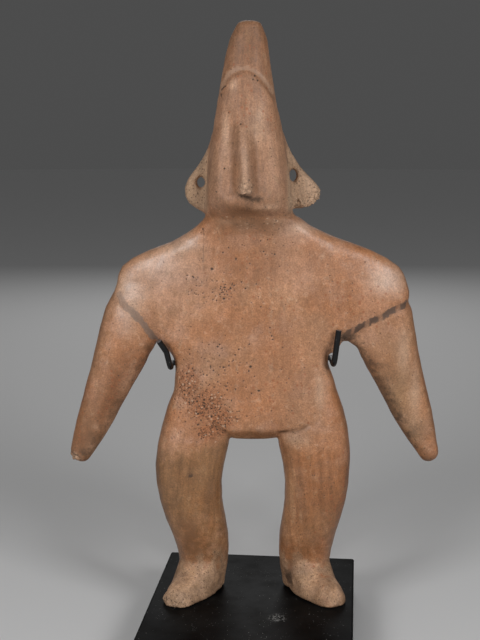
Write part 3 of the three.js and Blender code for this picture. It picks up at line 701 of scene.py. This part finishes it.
# Burnished clay has a soft gloss; where it is worn, painted or left rough it is dull.
dull = larger(tree, gritty, larger(tree, ragged_hip, hollows))
dull = larger(tree, dull, times(tree, larger(tree, left_band, right_band), 0.5))
gloss = plus(tree, varied(tree, strokes, 0.38, 0.50), times(tree, dull, 0.30))
gloss = plus(tree, gloss, times(tree, head, 0.14))
tree.links.new(gloss, surface.inputs["Roughness"])
tree.links.new(times(tree, burnished_and_sheen, 0.75), surface.inputs["Coat Weight"])
surface.inputs["Coat Roughness"].default_value = 0.36
surface.inputs["Specular IOR Level"].default_value = 0.5

# The grain and the strokes stand out a little, and the specks and dark crumbs are sunk.
relief = times(tree, grain, spread(tree, dull, 0.0, 1.0, 0.35, 1.3))
relief = plus(tree, relief, times(tree, strokes, 0.45))
relief = less(tree, relief, times(tree, larger(tree, dark_specks, dark_crumbs), 0.8))
set_bumps(tree, surface, relief, strength=0.6, distance=0.3 * MM)

figure.data.materials.append(clay)
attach(figure, "root")
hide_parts("shaman_figure")

# The stand's block
# A block of wood with its corners rubbed round, painted in smooth black. It stands a little askew
# of the figure, whose feet rest on it.
BLOCK_SIZE = (0.115, 0.127, 0.022)
BLOCK_TURN = math.radians(-5.8)
BLOCK_CORNER = 0.0012

clear_selection()
bpy.ops.mesh.primitive_cube_add(size=1, location=(0, 0, BLOCK_SIZE[2] / 2),
                                rotation=(0, 0, BLOCK_TURN), scale=BLOCK_SIZE)
block = bpy.context.object
block.name = "painted_block"
bpy.ops.object.transform_apply(location=True, rotation=True, scale=True)
apply_modifier(block, "BEVEL", width=BLOCK_CORNER, segments=4, limit_method="ANGLE")
bpy.ops.object.shade_smooth_by_angle(angle=math.radians(30))

BLACK_PAINT = (0.0022, 0.0024, 0.0027, 1)
BROWNED_BLACK = (0.0044, 0.0042, 0.0040, 1)
DUST = (0.32, 0.32, 0.31, 1)
LINT_PLACE = (0.013, -0.029, 0.022)  # where a tuft of lint lies on the block


def dust_group():
    """Settled dust: fine grains, a few coarser ones, and a thin film in clouds."""
    group = bpy.data.node_groups.new("settled_dust", "ShaderNodeTree")
    group.interface.new_socket("Place", in_out="INPUT", socket_type="NodeSocketVector")
    group.interface.new_socket("Mask", in_out="OUTPUT", socket_type="NodeSocketFloat")
    place = add_node(group, "NodeGroupInput").outputs["Place"]
    clouds = spread(group, cloudy(group, place, 45, 3), 0.35, 0.75)
    fine = specks(group, place, 1500, share=times(group, clouds, 0.12), size=0.35)
    coarse = specks(group, place, 420, share=0.03, size=0.16)
    film = times(group, clouds, 0.02)
    mask = larger(group, larger(group, fine, coarse), film)
    result = add_node(group, "NodeGroupOutput")
    group.links.new(mask, result.inputs["Mask"])
    return group


SETTLED_DUST = dust_group()


def dust(tree, place):
    return add_node(tree, "ShaderNodeGroup", {"Place": place}, node_tree=SETTLED_DUST).outputs["Mask"]


black_paint, tree, surface, place = new_material("black_block_paint")

# Brushed black paint with dust on it, and one tuft of lint made of thin curling lines.
uneven = cloudy(tree, place, 70, 4, 0.6)
colour = mixed(tree, spread(tree, uneven, 0.35, 0.7), BLACK_PAINT, BROWNED_BLACK)
apart = add_node(tree, "ShaderNodeVectorMath", {0: place, 1: LINT_PLACE}, operation="DISTANCE")
curls = worked_out(tree, "ABSOLUTE", less(tree, cloudy(tree, place, 520, 1), 0.5))
lint = times(tree, spread(tree, curls, 0.05, 0.008),
             spread(tree, apart.outputs["Value"], 6.8 * MM, 1.5 * MM))
dusty = larger(tree, dust(tree, place), lint)
colour = mixed(tree, dusty, colour, DUST)
tree.links.new(colour, surface.inputs["Base Color"])
gloss = spread(tree, plus(tree, uneven, dusty), 0.3, 1.2, 0.48, 0.75)
tree.links.new(gloss, surface.inputs["Roughness"])
surface.inputs["Specular IOR Level"].default_value = 0.05
set_bumps(tree, surface, cloudy(tree, place, 900, 2), strength=0.25, distance=0.1 * MM)
block.data.materials.append(black_paint)
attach(block, "root")
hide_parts("stand_block")

# The support rods
# Two lengths of round steel rod, let into the block behind the legs, bent forward under the arms
# and up into a short prong, sawn off and painted black.
ROD_RADIUS = 0.0016
ROD_BEND = 0.0045  # the radius of its bends
ROD_SIDES = 20
SPIN_STEPS = 6
LEFT_ROD = [(-0.032, 0.0335, 0.022), (-0.038, 0.0265, 0.1533), (-0.046, 0.014, 0.1558),
            (-0.0456, -0.0018, 0.1562), (-0.0476, -0.0042, 0.1657), (-0.0514, -0.0070, 0.1723)]
RIGHT_ROD = [(0.034, 0.0335, 0.022), (0.0365, 0.0265, 0.1563), (0.0441, 0.014, 0.1587),
             (0.0441, -0.0064, 0.1587), (0.0464, -0.0074, 0.1783)]


def bent_rod(name, corners):
    """A rod drawn out from a disc, straight to each corner and spun round each bend."""
    corners = [Vector(corner) for corner in corners]
    heading = (corners[1] - corners[0]).normalized()
    clear_selection()
    bpy.ops.mesh.primitive_circle_add(vertices=ROD_SIDES, radius=ROD_RADIUS, fill_type="NGON",
                                      location=corners[0],
                                      rotation=heading.to_track_quat("Z", "Y").to_euler())
    rod = bpy.context.object
    rod.name = name
    bpy.ops.object.transform_apply(location=True, rotation=True, scale=True)
    bpy.ops.object.mode_set(mode="EDIT")
    bpy.ops.mesh.select_mode(type="FACE")
    bpy.ops.mesh.select_all(action="SELECT")
    reached = corners[0]
    for before, corner, after in zip(corners, corners[1:], corners[2:]):
        arriving = (corner - before).normalized()
        leaving = (after - corner).normalized()
        turn = arriving.angle(leaving)
        start = corner - arriving * ROD_BEND * math.tan(turn / 2)
        bpy.ops.mesh.extrude_region_move(TRANSFORM_OT_translate={"value": start - reached})
        axis = arriving.cross(leaving).normalized()
        centre = start + axis.cross(arriving) * ROD_BEND
        bpy.ops.mesh.spin(steps=SPIN_STEPS, angle=-turn, center=centre, axis=axis)
        reached = centre + Matrix.Rotation(turn, 3, axis) @ (start - centre)
    bpy.ops.mesh.extrude_region_move(TRANSFORM_OT_translate={"value": corners[-1] - reached})
    # The sawn end's edge is filed.
    bpy.ops.mesh.inset(thickness=ROD_RADIUS * 0.15, depth=ROD_RADIUS * 0.12)
    bpy.ops.mesh.select_all(action="SELECT")
    bpy.ops.mesh.remove_doubles(threshold=1e-6)
    bpy.ops.mesh.normals_make_consistent(inside=False)
    bpy.ops.object.mode_set(mode="OBJECT")
    bpy.ops.object.shade_smooth_by_angle(angle=math.radians(40))
    return rod


ROD_PAINT = (0.004, 0.0044, 0.005, 1)
BARE_STEEL = (0.30, 0.30, 0.31, 1)

rod_paint, tree, surface, place = new_material("black_rod_paint")

# Black paint with a little dust, rubbed off in small flakes and gone from the sawn end.
flakes = spread(tree, cloudy(tree, place, 420, 4, 0.7), 0.66, 0.72)
saw_marks = varied(tree, cloudy(tree, place, 1400, 2), 0.55, 1.0)
sawn = times(tree, painted(tree, "sawn_end"), saw_marks)
bare = larger(tree, times(tree, flakes, 0.5), sawn)
colour = mixed(tree, times(tree, dust(tree, place), 0.7), ROD_PAINT, DUST)
colour = mixed(tree, bare, colour, BARE_STEEL)
tree.links.new(colour, surface.inputs["Base Color"])
tree.links.new(bare, surface.inputs["Metallic"])
gloss = varied(tree, cloudy(tree, place, 160, 3), 0.34, 0.50)
tree.links.new(gloss, surface.inputs["Roughness"])
surface.inputs["Specular IOR Level"].default_value = 0.3
set_bumps(tree, surface, cloudy(tree, place, 1100, 2), strength=0.3, distance=0.1 * MM)

for name, node_name, corners in [("left_rod", "left_support_rod", LEFT_ROD),
                                 ("right_rod", "right_support_rod", RIGHT_ROD)]:
    rod = bent_rod(name, corners)
    from_end = np.linalg.norm(points_of(rod) - np.array(corners[-1]), axis=1)
    paint(rod, "sawn_end", (from_end < 0.95 * ROD_RADIUS).astype(float))
    rod.data.materials.append(rod_paint)
    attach(rod, "root")
    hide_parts(node_name)

# The floor and the light
# A plain pale floor, two soft lights in front of the figure, one at each side, and a weak one behind.
# The world around gives an even grey light.
FLOOR_RADIUS = 6
FLOOR_GREY = (0.72, 0.72, 0.72, 1)
SKY_GREY = (0.6, 0.6, 0.6, 1)
SKY_STRENGTH = 0.17
SKY_STRENGTH_SEEN = 0.122  # seen directly it has the tone of the far floor, so no horizon shows
SOFT_LIGHTS = [("left_light", (-0.55, -0.80, 0.62), (0, 0, 0.17), 0.35, 5.0),
               ("right_light", (0.55, -0.78, 0.66), (0, 0, 0.17), 0.35, 5.0),
               ("back_light", (0, 1.3, 0.8), (0, 0, 0.2), 0.6, 3)]

bpy.ops.mesh.primitive_circle_add(vertices=96, radius=FLOOR_RADIUS, fill_type="NGON")
floor = bpy.context.object
floor.name = "floor"
floor_paint = bpy.data.materials.new("pale_floor")
floor_paint.use_nodes = True
surface = floor_paint.node_tree.nodes["Principled BSDF"]
surface.inputs["Base Color"].default_value = FLOOR_GREY
surface.inputs["Roughness"].default_value = 0.9
floor.data.materials.append(floor_paint)

for name, place, target, size, power in SOFT_LIGHTS:
    direction = Vector(target) - Vector(place)
    bpy.ops.object.light_add(type="AREA", location=place,
                             rotation=direction.to_track_quat("-Z", "Y").to_euler())
    light = bpy.context.object
    light.name = name
    light.data.size = size
    light.data.energy = power

world = bpy.data.worlds.new("studio")
bpy.context.scene.world = world
world.use_nodes = True
sky = world.node_tree.nodes["Background"]
sky.inputs["Color"].default_value = SKY_GREY
seen = add_node(world.node_tree, "ShaderNodeLightPath").outputs["Is Camera Ray"]
strength = spread(world.node_tree, seen, 0.0, 1.0, SKY_STRENGTH, SKY_STRENGTH_SEEN)
world.node_tree.links.new(strength, sky.inputs["Strength"])
bpy.context.scene.view_settings.view_transform = "Standard"
